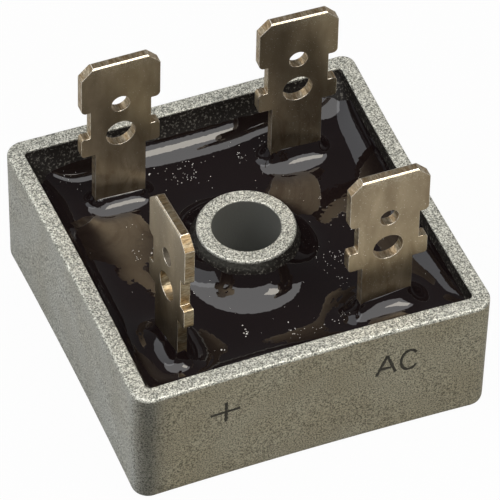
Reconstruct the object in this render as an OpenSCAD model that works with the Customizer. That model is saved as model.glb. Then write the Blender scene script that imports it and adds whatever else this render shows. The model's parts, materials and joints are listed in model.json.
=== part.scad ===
// Bridge rectifier in a square die-cast case, potted, with four upright quick-connect blades.
// Millimetres. The origin is the middle of the underside, +Z points up out of the open case,
// and the face that carries the polarity marks looks towards -Y.

/* [Case] */
// Side of the square case, across the rim
case_side = 28.8; // [28:0.1:31]
// Height of the case
case_height = 11; // [10.6:0.1:12.5]
// Thickness of the side walls at the rim
wall = 1.3; // [1:0.05:1.6]
// Thickness of the base that carries the heat away
base = 3; // [2.2:0.1:3.4]
// Radius of the upright outer corners
corner_r = 1.5; // [1.1:0.1:2.4]
// Radius of the upright inner corners
inner_corner_r = 0.4; // [0.2:0.05:0.9]
// How far each outer wall leans in from the rim down to the underside
draft = 0.15; // [0.05:0.01:0.3]
// Radius of the lower outer edge
base_edge_r = 0.5; // [0.2:0.05:0.7]
// Bevel around the outer rim edge
rim_bevel = 0.12; // [0.05:0.01:0.3]

/* [Mounting boss] */
// Bore for the mounting screw
bore_d = 5.3; // [4.9:0.05:5.6]
// Outside of the boss
boss_d = 7.64; // [7.2:0.02:8.2]
// How far the boss ends below the rim
boss_drop = 0.15; // [0.05:0.05:0.5]
// Bevel at the two mouths of the bore
bore_bevel = 0.12; // [0.05:0.01:0.3]

/* [Potting] */
// Depth of the level resin below the rim
resin_depth = 3.1; // [2.4:0.1:3.4]
// How far below the rim the resin stops on the walls
resin_stop = 0.15; // [0.1:0.05:0.6]
// How far below the boss's top the resin stops on it
boss_stop = 0.15; // [0.1:0.05:0.6]
// How high the resin climbs the rear blades
rear_climb = 0.7; // [0.3:0.1:1.2]
// How high it climbs the front blades, which stand nearer to the walls
front_climb = 2; // [0.7:0.1:2.3]
// Distance in which the climbing resin falls to about a third
climb_length = 1.9; // [1.3:0.1:2.1]

/* [Blades] */
// Height of the blade tips above the underside
total_height = 23; // [22.6:0.1:25.4]
// Width of the blade, the quick-connect size
blade_w = 6.35; // [6.2:0.05:6.5]
// Thickness of the blade
blade_t = 0.8; // [0.7:0.05:0.9]
// Corner cut at the tip
tip_cut = 0.98; // [0.6:0.02:1.2]
// Height of the lead-in bevel on both faces of the tip
lead_in_h = 0.25; // [0.1:0.05:0.9]
// Depth of that bevel
lead_in_d = 0.15; // [0.1:0.05:0.3]
// Length of the blade's head, from the tip to the notch
head_l = 4.48; // [4.1:0.02:4.7]
// Width of the notched neck
neck_w = 4.9; // [4.5:0.1:5.4]
// Distance from the tip to the stop wings
wing_at = 7.2; // [6.8:0.1:7.6]
// Length of the stop wings
wing_l = 1.85; // [1.4:0.05:2.3]
// Rounding of the head's lower corners
head_corner_r = 0.4; // [0.2:0.05:0.6]
// Rounding of the wings' corners
wing_corner_r = 0.25; // [0.1:0.05:0.6]
// Width of the stem below the wings
stem_w = 4.08; // [3.7:0.02:4.5]
// Detent hole
detent_d = 1.5; // [1.3:0.05:1.8]
// Distance from the tip to the detent hole
detent_at = 4.31; // [4:0.01:4.4]
// Wiring hole
wire_hole_d = 2.36; // [2:0.02:2.6]
// Distance from the tip to the wiring hole
wire_hole_at = 7.4; // [7:0.02:7.6]
// Inner radius of the bend above the foot
bend_r = 0.4; // [0.2:0.05:0.6]
// Length of the foot that is soldered down, from the blade's middle plane
foot_l = 2.7; // [2.2:0.1:3.2]

/* [Blade places] */
// Inner rear wall to the middle plane of the rear AC blade
ac_rear_inset = 4.51; // [3.8:0.01:4.8]
// Inner rear wall to the middle plane of the negative blade
negative_inset = 4.84; // [3.8:0.01:5]
// Inner front wall to the middle plane of the front AC blade
ac_front_inset = 3.47; // [3.2:0.01:4.4]
// Inner left wall to the middle plane of the positive blade, which is turned a quarter
positive_inset = 3.9; // [3.6:0.05:4.4]
// Inner right wall to the middle of the two right blades
right_blades_in = 5.83; // [5.1:0.01:6]
// Inner left wall to the middle of the rear left blade
rear_left_blade_in = 6.07; // [5.4:0.01:6.3]
// Inner front wall to the middle of the positive blade
positive_blade_in = 5.2; // [5:0.05:5.6]
// Angle by which the positive blade stands out of square
positive_twist_angle = 2.7; // [0:0.1:4]
// Angle by which the negative blade stands out of square
negative_twist_angle = 1.8; // [0:0.1:4]

/* [Lead frame and chips] */
// Thickness of the ceramic insulator
insulator_t = 0.6; // [0.4:0.05:0.8]
// Gap between the insulator and the case
insulator_gap = 0.5; // [0.2:0.1:0.8]
// Thickness of the two lower copper plates
plate_t = 0.8; // [0.6:0.05:1]
// Thickness of the two upper copper straps
strap_t = 0.6; // [0.4:0.05:0.8]
// Gap between the lower plates and the case wall
plate_wall_gap = 0.8; // [0.6:0.1:1.1]
// Gap between the lower plates and the boss
plate_boss_gap = 1.4; // [1.1:0.1:1.6]
// How much wider than a chip the straps are, on each side
strap_margin = 0.2; // [0.1:0.05:0.4]
// Side of a square silicon chip
chip_side = 5.2; // [4.8:0.1:5.4]
// Thickness of a chip
chip_t = 0.3; // [0.2:0.02:0.4]
// Thickness of every solder joint
solder_t = 0.1; // [0.06:0.01:0.15]
// How far each chip sits past the case's middle line, towards its plate's end
chip_shift = 0.8; // [0.5:0.1:1]
// How far each plate and strap runs on past its chip
end_margin = 0.6; // [0.4:0.05:0.8]

/* [Hidden] */
$fn = 64;
overlap = 1; // cutters run this far past what they cut
edge_steps = 4; // facets that round the lower outer edge
climb_steps = 5; // facets in the resin's concave slope
climb_reach = 3; // the slope ends this many climb lengths out

cavity_side = case_side - 2 * wall;
inner_wall = cavity_side / 2;
boss_top = case_height - boss_drop;
corner_at = case_side / 2 - corner_r; // centre of each upright corner
resin_level = case_height - resin_depth;

// Heights of the stack on the base
insulator_z = base;
plate_z = insulator_z + insulator_t;
plate_top = plate_z + plate_t;
chip_z = plate_top + solder_t;
strap_z = chip_z + chip_t + solder_t;
strap_top = strap_z + strap_t;

// The ring-shaped track that the plates and straps follow, between the boss and the wall
track_in = boss_d / 2 + plate_boss_gap;
track_out = inner_wall - plate_wall_gap;
track_mid = (track_in + track_out) / 2;
strap_half = chip_side / 2 + strap_margin;
arm_end = chip_shift + chip_side / 2 + end_margin;

// Each blade: [x, y, turn, foot level, resin climb]. The foot points the way the turn sends +Y.
right_x = inner_wall - right_blades_in;
low_foot = plate_top + solder_t;
high_foot = strap_top + solder_t;
QUARTER_TURN = 90;
POSITIVE = [positive_inset - inner_wall, positive_blade_in - inner_wall,
    positive_twist_angle - QUARTER_TURN, low_foot, front_climb];
NEGATIVE = [right_x, inner_wall - negative_inset, -negative_twist_angle, low_foot, rear_climb];
AC_FRONT = [right_x, ac_front_inset - inner_wall, 0, high_foot, front_climb];
AC_REAR = [rear_left_blade_in - inner_wall, inner_wall - ac_rear_inset, 0, high_foot, rear_climb];
BLADES = [POSITIVE, NEGATIVE, AC_FRONT, AC_REAR];

// Each chip's centre, on the lower plates' arms
CHIPS = [
    [chip_shift, -track_mid],
    [-track_mid, chip_shift],
    [track_mid, -chip_shift],
    [-chip_shift, track_mid],
];

// Flat rectangle with round corners, centred
module rounded_rect(size, r) {
    square([size.x - 2 * r, size.y], center = true);
    square([size.x, size.y - 2 * r], center = true);
    for (x = [-1, 1], y = [-1, 1])
        translate([x * (size.x / 2 - r), y * (size.y / 2 - r)]) circle(r);
}

// ---- Case ----

// How far the outer skin lies out from a corner's centre line at height z
rim_z = case_height - rim_bevel;
function skin(z) = corner_r - draft * (1 - z / rim_z);

// Outer skin as [distance from the corner's centre line, height], from the underside to the rim
function skin_profile() = concat(
    [for (i = [0:edge_steps])
        let (a = 90 * i / edge_steps, z = base_edge_r * (1 - cos(a)))
        [skin(z) - base_edge_r * (1 - sin(a)), z]],
    [[corner_r, rim_z], [corner_r - rim_bevel, case_height]]
);

// Block between two opposite faces, as long as the straight part of the other two
module case_slab() {
    right = [for (p = skin_profile()) [corner_at + p.x, p.y]];
    left = [for (i = [len(right) - 1:-1:0]) [-right[i].x, right[i].y]];
    rotate([90, 0, 90]) linear_extrude(2 * corner_at, center = true) polygon(concat(right, left));
}

module case_corner() {
    translate([corner_at, corner_at, 0])
        rotate_extrude(angle = 90) polygon(concat([[0, 0]], skin_profile(), [[0, case_height]]));
}

module cavity() {
    translate([0, 0, base])
        linear_extrude(case_height) rounded_rect([cavity_side, cavity_side], inner_corner_r);
}

module boss() {
    cylinder(d = boss_d, h = boss_top);
}

module case() {
    color([0.62, 0.62, 0.58]) difference() {
        union() {
            case_slab();
            rotate(90) case_slab();
            for (turn = [0:90:270]) rotate(turn) case_corner();
        }
        difference() {
            cavity();
            boss();
        }
        translate([0, 0, -overlap]) cylinder(d = bore_d, h = case_height + 2 * overlap);
        bore_mouth();
        translate([0, 0, boss_top]) mirror([0, 0, 1]) bore_mouth();
    }
}

// Cone that bevels the bore's mouth, opening downwards from the plane z = 0
module bore_mouth() {
    translate([0, 0, -overlap])
        cylinder(r1 = bore_d / 2 + bore_bevel + overlap, r2 = bore_d / 2, h = bore_bevel + overlap);
}

// ---- Potting ----

// Concave slope as [distance out, height above the level], falling as a decaying exponential
function climb_profile(height) = [
    for (i = [0:climb_steps])
        let (d = climb_reach * pow(i / climb_steps, 1.5), tail = exp(-climb_reach))
        [d * climb_length, height * (exp(-d) - tail) / (1 - tail)]
];

// Section of a slope that starts at a wall, with its root sunk into the level resin
module climb_section(height) {
    polygon(concat(
        [[climb_reach * climb_length, -overlap], [0, -overlap]],
        climb_profile(height)
    ));
}

module wall_slope() {
    translate([cavity_side / 2, 0, resin_level]) rotate([90, 0, 0]) mirror([1, 0, 0])
        linear_extrude(cavity_side, center = true)
            climb_section(resin_depth - resin_stop);
}

module boss_slope() {
    translate([0, 0, resin_level]) rotate_extrude() translate([boss_d / 2, 0])
        climb_section(resin_depth - boss_drop - boss_stop);
}

// Slopes on the two faces and the two edges of a blade's stem, carried round its four corners
module blade_slope(climb) {
    for (turn = [0, 180]) rotate(turn) {
        translate([0, blade_t / 2, 0]) rotate([90, 0, 90])
            linear_extrude(stem_w, center = true) climb_section(climb);
        translate([stem_w / 2, 0, 0]) rotate([90, 0, 0])
            linear_extrude(blade_t, center = true) climb_section(climb);
        translate([stem_w / 2, blade_t / 2, 0])
            rotate_extrude(angle = 90) climb_section(climb);
        translate([-stem_w / 2, blade_t / 2, 0]) rotate(90)
            rotate_extrude(angle = 90) climb_section(climb);
    }
}

// Puts a blade's own piece in its place, with its z = 0 lifted to the height given
module at_blade(place, height) {
    translate([place.x, place.y, height]) rotate(place.z) children();
}

module potting() {
    color([0.09, 0.08, 0.085]) difference() {
        intersection() {
            cavity();
            union() {
                translate([0, 0, resin_level / 2])
                    cube([case_side, case_side, resin_level], center = true);
                for (turn = [0:90:270]) rotate(turn) wall_slope();
                boss_slope();
                for (place = BLADES) at_blade(place, resin_level) blade_slope(place[4]);
            }
        }
        boss();
        insulator();
        positive_plate();
        negative_plate();
        ac_strap_front();
        ac_strap_rear();
        for (c = CHIPS) {
            chip(c);
            chip_solder(c, plate_top);
            chip_solder(c, chip_z + chip_t);
        }
        for (place = BLADES) {
            terminal(place);
            foot_solder(place);
        }
    }
}

// ---- Blades ----

// Blank of a blade, flat: x across, y up, the tip at y = 0
module blade_blank(length) {
    difference() {
        union() {
            polygon([
                [-blade_w / 2, -head_l / 2], [blade_w / 2, -head_l / 2], [blade_w / 2, -tip_cut],
                [blade_w / 2 - tip_cut, 0], [tip_cut - blade_w / 2, 0], [-blade_w / 2, -tip_cut],
            ]);
            translate([0, (-head_l - tip_cut) / 2])
                rounded_rect([blade_w, head_l - tip_cut], head_corner_r);
            translate([0, -(head_l + wing_at) / 2])
                square([neck_w, wing_at - head_l + 2 * wing_corner_r], center = true);
            translate([0, -wing_at - wing_l / 2]) rounded_rect([blade_w, wing_l], wing_corner_r);
            translate([-stem_w / 2, -length]) square([stem_w, length - wing_at - wing_l / 2]);
        }
        translate([0, -detent_at]) circle(d = detent_d);
        translate([0, -wire_hole_at]) circle(d = wire_hole_d);
    }
}

// Side view of a blade: x through its thickness, y up, the foot's underside at y = 0
module blade_side(height) {
    outer_r = bend_r + blade_t;
    polygon([
        [-blade_t / 2, outer_r], [blade_t / 2, outer_r],
        [blade_t / 2, height - lead_in_h], [blade_t / 2 - lead_in_d, height],
        [lead_in_d - blade_t / 2, height], [-blade_t / 2, height - lead_in_h],
    ]);
    translate([bend_r + blade_t / 2, 0]) square([foot_l - bend_r - blade_t / 2, blade_t]);
    translate([bend_r + blade_t / 2, outer_r]) intersection() {
        difference() {
            circle(outer_r);
            circle(bend_r);
        }
        translate([-outer_r, -outer_r]) square(outer_r);
    }
}

module terminal(place) {
    foot_z = place[3];
    height = total_height - foot_z;
    at_blade(place, foot_z) intersection() {
        translate([0, foot_l, height]) rotate([90, 0, 0])
            linear_extrude(2 * foot_l) blade_blank(height);
        rotate([90, 0, 90])
            linear_extrude(blade_w + overlap, center = true) blade_side(height);
    }
}

module foot_solder(place) {
    pad_l = foot_l - bend_r - blade_t / 2;
    at_blade(place, place[3] - solder_t)
        translate([-stem_w / 2, foot_l - pad_l, 0]) cube([stem_w, pad_l, solder_t]);
}

// ---- Lead frame and chips ----

// L of two arms round the corner at (-x, -y), each from that corner to the distance end
module corner_track(inner, outer, end) {
    polygon([
        [-outer, -outer], [end, -outer], [end, -inner],
        [-inner, -inner], [-inner, end], [-outer, end],
    ]);
}

module insulator() {
    color("white") translate([0, 0, insulator_z]) linear_extrude(insulator_t) difference() {
        side = cavity_side - 2 * insulator_gap;
        rounded_rect([side, side], inner_corner_r);
        circle(d = boss_d + 2 * insulator_gap);
    }
}

module positive_plate() {
    color([0.72, 0.45, 0.2]) translate([0, 0, plate_z])
        linear_extrude(plate_t) corner_track(track_in, track_out, arm_end);
}

module negative_plate() {
    rotate(180) positive_plate();
}

module ac_strap_front() {
    color([0.72, 0.45, 0.2]) translate([0, 0, strap_z]) rotate(90) linear_extrude(strap_t)
        corner_track(track_mid - strap_half, track_mid + strap_half, arm_end - 2 * chip_shift);
}

module ac_strap_rear() {
    rotate(180) ac_strap_front();
}

module chip(centre) {
    color([0.25, 0.27, 0.32]) translate([centre.x, centre.y, chip_z + chip_t / 2])
        cube([chip_side, chip_side, chip_t], center = true);
}

module chip_solder(centre, z) {
    color([0.75, 0.75, 0.78]) translate([centre.x, centre.y, z + solder_t / 2])
        cube([chip_side, chip_side, solder_t], center = true);
}

module blade(place) {
    color([0.5, 0.45, 0.36]) terminal(place);
}

module foot_joint(place) {
    color([0.75, 0.75, 0.78]) foot_solder(place);
}

case();
potting();
insulator();
positive_plate();
negative_plate();
ac_strap_front();
ac_strap_rear();
chip(CHIPS[0]);  // chip_front
chip(CHIPS[1]);  // chip_left
chip(CHIPS[2]);  // chip_right
chip(CHIPS[3]);  // chip_rear
blade(POSITIVE);  // terminal_positive
blade(NEGATIVE);  // terminal_negative
blade(AC_FRONT);  // terminal_ac_front
blade(AC_REAR);  // terminal_ac_rear
chip_solder(CHIPS[0], plate_top);  // solder_under_chip_front
chip_solder(CHIPS[1], plate_top);  // solder_under_chip_left
chip_solder(CHIPS[2], plate_top);  // solder_under_chip_right
chip_solder(CHIPS[3], plate_top);  // solder_under_chip_rear
chip_solder(CHIPS[0], chip_z + chip_t);  // solder_over_chip_front
chip_solder(CHIPS[1], chip_z + chip_t);  // solder_over_chip_left
chip_solder(CHIPS[2], chip_z + chip_t);  // solder_over_chip_right
chip_solder(CHIPS[3], chip_z + chip_t);  // solder_over_chip_rear
foot_joint(POSITIVE);  // solder_positive_foot
foot_joint(NEGATIVE);  // solder_negative_foot
foot_joint(AC_FRONT);  // solder_ac_front_foot
foot_joint(AC_REAR);  // solder_ac_rear_foot
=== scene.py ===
# %% [markdown]
# # A potted bridge rectifier
# The real object is a small die-cast aluminium cup, filled with black epoxy, with a mounting
# boss in its middle and four stamped blades standing out of the resin. The packed CAD model is
# loaded first and stays as it is. Its case, its resin and its four blades are then made again
# with finer surfaces and softened edges, and dust and printed marks are added. Every new piece
# is a formula on a grid of numbers.

import json

import bpy
import numpy as np
from mathutils import Matrix, Vector


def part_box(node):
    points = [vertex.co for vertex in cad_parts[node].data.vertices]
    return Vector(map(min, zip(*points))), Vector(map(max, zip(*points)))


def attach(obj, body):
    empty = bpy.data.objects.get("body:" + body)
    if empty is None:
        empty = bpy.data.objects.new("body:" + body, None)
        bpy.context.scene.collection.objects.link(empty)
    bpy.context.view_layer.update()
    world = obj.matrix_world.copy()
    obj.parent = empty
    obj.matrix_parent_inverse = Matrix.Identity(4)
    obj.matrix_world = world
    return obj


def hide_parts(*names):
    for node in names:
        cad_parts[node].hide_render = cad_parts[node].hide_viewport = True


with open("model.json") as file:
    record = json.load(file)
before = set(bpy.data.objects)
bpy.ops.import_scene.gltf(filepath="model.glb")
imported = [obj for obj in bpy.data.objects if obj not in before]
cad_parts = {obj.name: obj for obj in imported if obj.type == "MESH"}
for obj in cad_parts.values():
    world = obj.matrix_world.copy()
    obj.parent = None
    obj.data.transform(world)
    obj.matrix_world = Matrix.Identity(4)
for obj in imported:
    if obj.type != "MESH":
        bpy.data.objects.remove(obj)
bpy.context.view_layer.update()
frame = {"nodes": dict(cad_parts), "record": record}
MM = 0.001

# %% [markdown]
# The sizes that the new pieces share are taken from the CAD pieces' boxes and from the record's
# bore, in millimetres, so that a change in the CAD model is followed here. The few that no box
# can tell, such as a corner radius, are written down once.

# %% Sizes
def span(node):
    """Lowest and highest corner of a CAD piece, in millimetres."""
    low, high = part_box(node)
    return np.array(low) / MM, np.array(high) / MM


_, case_high = span("case")
resin_low, resin_high = span("potting")
HALF = case_high[0]
HEIGHT = case_high[2]
INNER = resin_high[0]
BASE = resin_low[2]
BORE_R = frame["record"]["mounts"][0]["dims"]["r_mm"]
BOSS_R = 3.82
BOSS_TOP = HEIGHT - 0.15
CORNER_R = 1.5  # upright outer corners
INNER_R = 0.4  # upright inner corners
DRAFT = 0.18  # how far each outer wall leans in at its foot
print("half side", HALF, "height", HEIGHT, "inner half", INNER, "base", BASE, "bore", BORE_R)

# %% [markdown]
# A few helpers turn arrays into meshes. A closed grid needs no loop over its points: the four
# corners of every face come from the same index array, rolled by one row or one column. The sum
# of the small pyramids between the origin and each face is the volume, and its sign tells
# whether the faces look outwards.

# %% Mesh helpers
def make_mesh(name, points, faces):
    """A mesh object from points in millimetres and faces with three or four corners."""
    mesh = bpy.data.meshes.new(name)
    mesh.from_pydata((np.asarray(points) * MM).tolist(), [], [list(f) for f in faces])
    mesh.validate()
    mesh.update()
    piece = bpy.data.objects.new(name, mesh)
    bpy.context.scene.collection.objects.link(piece)
    mesh.polygons.foreach_set("use_smooth", np.ones(len(mesh.polygons), bool))
    return piece


def volume(points, faces):
    """Signed volume: for each face, a sixth of the triple product of its corners, summed."""
    a, b, c, d = (points[faces[:, k]] for k in range(4))
    first = np.einsum("ij,ij->i", a, np.cross(b, c))
    second = np.einsum("ij,ij->i", a, np.cross(c, d))
    return (first.sum() + second.sum()) / 6


def closed_grid(rows, columns):
    """Faces of a grid that closes on itself both ways, as a ring-shaped tube does."""
    index = np.arange(rows * columns).reshape(rows, columns)
    right = np.roll(index, -1, axis=1)
    down = np.roll(index, -1, axis=0)
    corner = np.roll(right, -1, axis=0)
    return np.stack([index, right, corner, down], axis=-1).reshape(-1, 4)


def ring_solid(name, grid):
    """A closed solid from a grid of points, one row for each step of its section."""
    rows, columns, _ = grid.shape
    points = grid.reshape(-1, 3)
    faces = closed_grid(rows, columns)
    if volume(points, faces) < 0:
        faces = faces[:, ::-1]
    piece = make_mesh(name, points, faces)
    print(name, rows, "x", columns, "points, volume", round(abs(volume(points, faces)), 1), "mm3")
    return piece


# %% [markdown]
# ## Case
# The case is a cup with a hollow boss. It could be joined from blocks and cylinders, but its
# walls, rim, floor, boss and bore follow each other without a break, so one section carried once
# round the middle gives all of them. Each step of the section is either a rounded square or a
# circle. A rounded square is a smaller sharp square moved outwards along its normals.

# %% The path round the case
SIDE_STEPS = 104
TURN_STEPS = 14
SPOKE_HALF = 12.8  # half side of the square that sets the directions of a circle's points


def rounded_path():
    """Unit square's corner-to-corner point and the outward normal, for each step of the path."""
    across = np.linspace(-1, 1, SIDE_STEPS, endpoint=False)
    turn = np.linspace(0, np.pi / 2, TURN_STEPS, endpoint=False)
    square, normal = [], []
    for quarter_turns in range(4):
        a = quarter_turns * np.pi / 2
        spin = np.array([[np.cos(a), np.sin(a)], [-np.sin(a), np.cos(a)]])
        straight = np.stack([across, -np.ones(SIDE_STEPS)], 1)
        square += [straight @ spin, np.tile([1.0, -1.0], (TURN_STEPS, 1)) @ spin]
        down = np.tile([0.0, -1.0], (SIDE_STEPS, 1))
        round_corner = np.stack([np.sin(turn), -np.cos(turn)], 1)
        normal += [down @ spin, round_corner @ spin]
    return np.concatenate(square), np.concatenate(normal)


SQUARE, NORMAL = rounded_path()
STEPS = len(SQUARE)
spokes = SQUARE * SPOKE_HALF + NORMAL
ANGLE = np.arctan2(spokes[:, 1], spokes[:, 0])
CIRCLE = np.stack([np.cos(ANGLE), np.sin(ANGLE)], 1)
print("path of", STEPS, "steps")

# %% [markdown]
# A cast wall isn't quite flat. Each one sinks in towards its middle, as a parabola does, by its
# own depth, and the rear right corner has a smaller radius than the others. Both are worked out
# once for every step of the path, and each rounded square takes them from there.

# %% Rows of the section
SUNK = {"front": 0.2, "right": 0.15, "rear": 0.08, "left": 0.15}
SHARPER = 0.45  # taken off the radius at the rear right corner


def sunk_walls():
    """How far each wall sinks in, as a parabola that is nought at the corners."""
    x, y = SQUARE.T
    facing = np.column_stack([-NORMAL[:, 1], NORMAL[:, 0], NORMAL[:, 1], -NORMAL[:, 0]])
    depth = np.array(list(SUNK.values()))[facing.argmax(1)]
    along = np.where(np.abs(NORMAL[:, 0]) > np.abs(NORMAL[:, 1]), y, x)
    return (depth * (1 - along**2))[:, None] * NORMAL


def corner_change():
    """Change of the corner radius along the path, which grows towards the rear right corner."""
    x, y = SQUARE.T
    return -SHARPER * np.clip((x + 1) / 2, 0, 1) * np.clip((y + 1) / 2, 0, 1)


SINK = sunk_walls()
TIGHTER = corner_change()
print("walls sunk by up to", np.abs(SINK).max(), "mm")


def square_row(half, radius, z):
    """Rounded square of that half side and corner radius, with sunk walls, at height z."""
    radius = (radius * (1 + TIGHTER / CORNER_R))[:, None]
    flat = SQUARE * (half - radius) + NORMAL * radius - SINK
    return np.column_stack([flat, np.full(STEPS, z)])


def circle_row(radius, z):
    """Circle of that radius, at height z."""
    return np.column_stack([CIRCLE * radius, np.full(STEPS, z)])


# %% [markdown]
# The section starts at the bore's lower mouth and goes out along the underside, up the wall, over
# the rim, down inside, along the floor, up the boss and down the bore. Each rounding has a row
# close to both its ends, which keeps its soft shading from spreading over the flat parts.

# %% The outside of the section
EDGE_R = 0.5  # lower outer edge
RIM_R = 0.22  # outer edge of the rim
MOUTH_R = 0.12  # mouths of the bore


def arc(start, end, steps):
    """Cosine and sine at even steps from one angle to another, in degrees."""
    a = np.radians(np.linspace(start, end, steps))
    return np.cos(a), np.sin(a)


def lean_at(z):
    """How far the outer wall leans in at height z: DRAFT at the foot and nought at the rim."""
    return DRAFT * (1 - z / (HEIGHT - RIM_R))


def outer_rows():
    """Underside, lower edge, outer wall and the rim's outer edge."""
    foot, foot_r = HALF - DRAFT, CORNER_R - DRAFT
    rows = [circle_row(BORE_R + MOUTH_R, 0), circle_row(6, 0)]
    rows.append(square_row(foot - EDGE_R - 0.2, foot_r - EDGE_R, 0))
    for c, s in zip(*arc(-90, 0, 7)):
        out = EDGE_R - EDGE_R * c
        rows.append(square_row(foot - out, foot_r - out, EDGE_R + EDGE_R * s))
    for z in np.concatenate([[0.65], np.linspace(1.2, HEIGHT - 0.8, 9), [HEIGHT - 0.36]]):
        rows.append(square_row(HALF - lean_at(z), CORNER_R - lean_at(z), z))
    for c, s in zip(*arc(0, 90, 7)):
        out = RIM_R - RIM_R * c
        rows.append(square_row(HALF - out, CORNER_R - out, HEIGHT - RIM_R + RIM_R * s))
    return rows


print("rows from the bore to the rim:", len(outer_rows()))

# %% The inside of the section
LIP_R = 0.08  # inner edge of the rim
BOSS_EDGE_R = 0.2


def inner_rows():
    """Top of the rim, its inner edge, the inner wall and the floor."""
    rows = [square_row(HALF - 0.4, CORNER_R - 0.4, HEIGHT)]
    rows.append(square_row(INNER + 0.3, INNER_R + 0.3, HEIGHT))
    for c, s in zip(*arc(90, 180, 6)):
        out = LIP_R + LIP_R * c
        rows.append(square_row(INNER + out, INNER_R + out, HEIGHT - LIP_R + LIP_R * s))
    for z in (HEIGHT - 0.3, HEIGHT - 1.2, BASE):
        rows.append(square_row(INNER, INNER_R, z))
    return rows


def boss_rows():
    """Outside of the boss, its rounded edge, its top, the rounded mouth and the bore."""
    rows = [circle_row(BOSS_R, z) for z in (BASE, BOSS_TOP - 1.2, BOSS_TOP - 0.34)]
    r = BOSS_EDGE_R
    rows += [circle_row(BOSS_R - r + r * c, BOSS_TOP - r + r * s) for c, s in zip(*arc(0, 90, 7))]
    rows += [circle_row(BOSS_R - 0.34, BOSS_TOP), circle_row(BORE_R + 0.26, BOSS_TOP)]
    r = MOUTH_R
    rows += [circle_row(BORE_R + r + r * c, BOSS_TOP - r + r * s) for c, s in zip(*arc(90, 180, 5))]
    rows += [circle_row(BORE_R, z) for z in (BOSS_TOP - 0.3, 8, 5.5, 3, 0.3, 0.12)]
    return rows


case_points = np.stack(outer_rows() + inner_rows() + boss_rows())
case_shell = ring_solid("case_shell", case_points)

# %% [markdown]
# The case gets painted shade in three places: the front side is darker and warmer, the upright
# corner beside it is darker and cooler, and the bore is a flat dark grey. A material can't know
# these places by itself, so each becomes an attribute, a number from 0 to 1 at every point of the
# mesh.

# %% Where the case is darker
FADE_FROM = 1.2  # the front side's painted shade starts this far behind the front face
FADE_WIDTH = 0.9
CORNER_SHADE_IN = 0.9  # middle of the corner's painted shade, in from the left face
CORNER_SHADE_BACK = 0.1  # and back from the front face
CORNER_SHADE_REACH = 1.1


def add_attribute(piece, name, values):
    """One number for each vertex, for a material to read."""
    layer = piece.data.attributes.new(name, "FLOAT", "POINT")
    layer.data.foreach_set("value", np.asarray(values, float).ravel())


def mark_case(piece, x, y, z):
    """A straight fade behind the front face, a bell curve round the corner, and the bore."""
    # Painted shade on the front side, fading in behind the front face.
    near_front = np.clip((-y - HALF + FADE_FROM) / FADE_WIDTH, 0, 1)
    add_attribute(piece, "front_side", near_front * (z < HEIGHT - 0.12))
    # Painted shade round the upright corner, as a bell curve.
    away = np.hypot(x + HALF - CORNER_SHADE_IN, y + HALF - CORNER_SHADE_BACK)
    add_attribute(piece, "shaded_corner", np.exp(-((away / CORNER_SHADE_REACH) ** 2)))
    # Painted shade in the bore.
    in_bore = (np.hypot(x, y) < BORE_R + 0.02) & (z < BOSS_TOP - 0.1)
    add_attribute(piece, "bore", in_bore)
    print("bore:", in_bore.sum(), "points, shaded corner:", (away < CORNER_SHADE_REACH).sum(), "points")


mark_case(case_shell, *case_points.reshape(-1, 3).T)
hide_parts("case")
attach(case_shell, "root")

# %% [markdown]
# ## Blades
# A blade is stamped out of a strip as a flat blank and then bent once, and it is made in that
# order here. Where each one stands, how far it is turned and how deep its foot lies are measured
# on the CAD mesh, so that the new piece follows the solid. The blade's width is the direction
# in which its points spread the most.

# %% Where the blades stand
THICK = 0.8
FOOT = 2.7
BEND = 0.8
UPRIGHT = (12, 22)  # heights between which a blade is only upright metal


def blade_place(node):
    """Middle of the tip, the turn of its width from +X and the foot's height, from the CAD mesh."""
    mesh = frame["nodes"][node].data
    points = np.empty(len(mesh.vertices) * 3)
    mesh.vertices.foreach_get("co", points)
    points = points.reshape(-1, 3) / MM
    tip = points[points[:, 2] > points[:, 2].max() - 0.01]
    middle = (tip.min(0) + tip.max(0)) / 2
    stem = points[(points[:, 2] > UPRIGHT[0]) & (points[:, 2] < UPRIGHT[1])]
    _, axes = np.linalg.eigh(np.cov((stem - stem.mean(0))[:, :2].T))
    width = axes[:, 1]
    foot = points[points[:, 2] < points[:, 2].min() + 0.01].mean(0)[:2] - middle[:2]
    ahead = np.array([-width[1], width[0]])
    if ahead @ foot < 0:
        width = -width
    return middle, np.arctan2(width[1], width[0]), points[:, 2].min()


PLACES = {n: blade_place("terminal_" + n) for n in ("positive", "negative", "ac_front", "ac_rear")}
for name, (middle, turn, foot) in PLACES.items():
    degrees = round(np.degrees(turn), 1)
    print(name, "tip", middle.round(2), "turned", degrees, "foot at", round(foot, 2))

# %% [markdown]
# The blank has two holes, so it can't be one plain grid. It is cut into a band at the tip, one
# cell round each hole and a strip for the stem. The edge is written down for the right-hand side
# only, from the tip down, and mirrored.

# %% The blank's edge
STAMP = dict(width=6.35, cut=0.98, lead=0.1, head=4.48, neck=4.9, wing=7.2, wing_l=1.85,
             head_r=0.4, wing_r=0.25, stem=4.08, detent=(4.31, 0.75), wire=(7.4, 1.18))
SEAM = 5.7  # from the tip to the line where the two cells meet
CELLS_END = 9.9  # from the tip to the start of the plain strip
PITCH = 0.16


def split_line(corners, pitch):
    """Points along an open line of corners, with each side cut into steps of about the pitch."""
    out = [np.array(corners[0], float)[None]]
    for a, b in zip(corners[:-1], corners[1:]):
        a, b = np.array(a, float), np.array(b, float)
        steps = max(1, int(np.ceil(np.linalg.norm(b - a) / pitch - 1e-6)))
        t = np.arange(1, steps + 1)[:, None] / steps
        out.append(a + (b - a) * t)
    return np.concatenate(out)


def quarter(x, y, radius, start, end):
    """Corners that round an edge: a quarter circle about x, y, from one angle to another."""
    a = np.radians(np.linspace(start, end, 6))
    return [(x + radius * np.cos(t), y + radius * np.sin(t)) for t in a]


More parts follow.
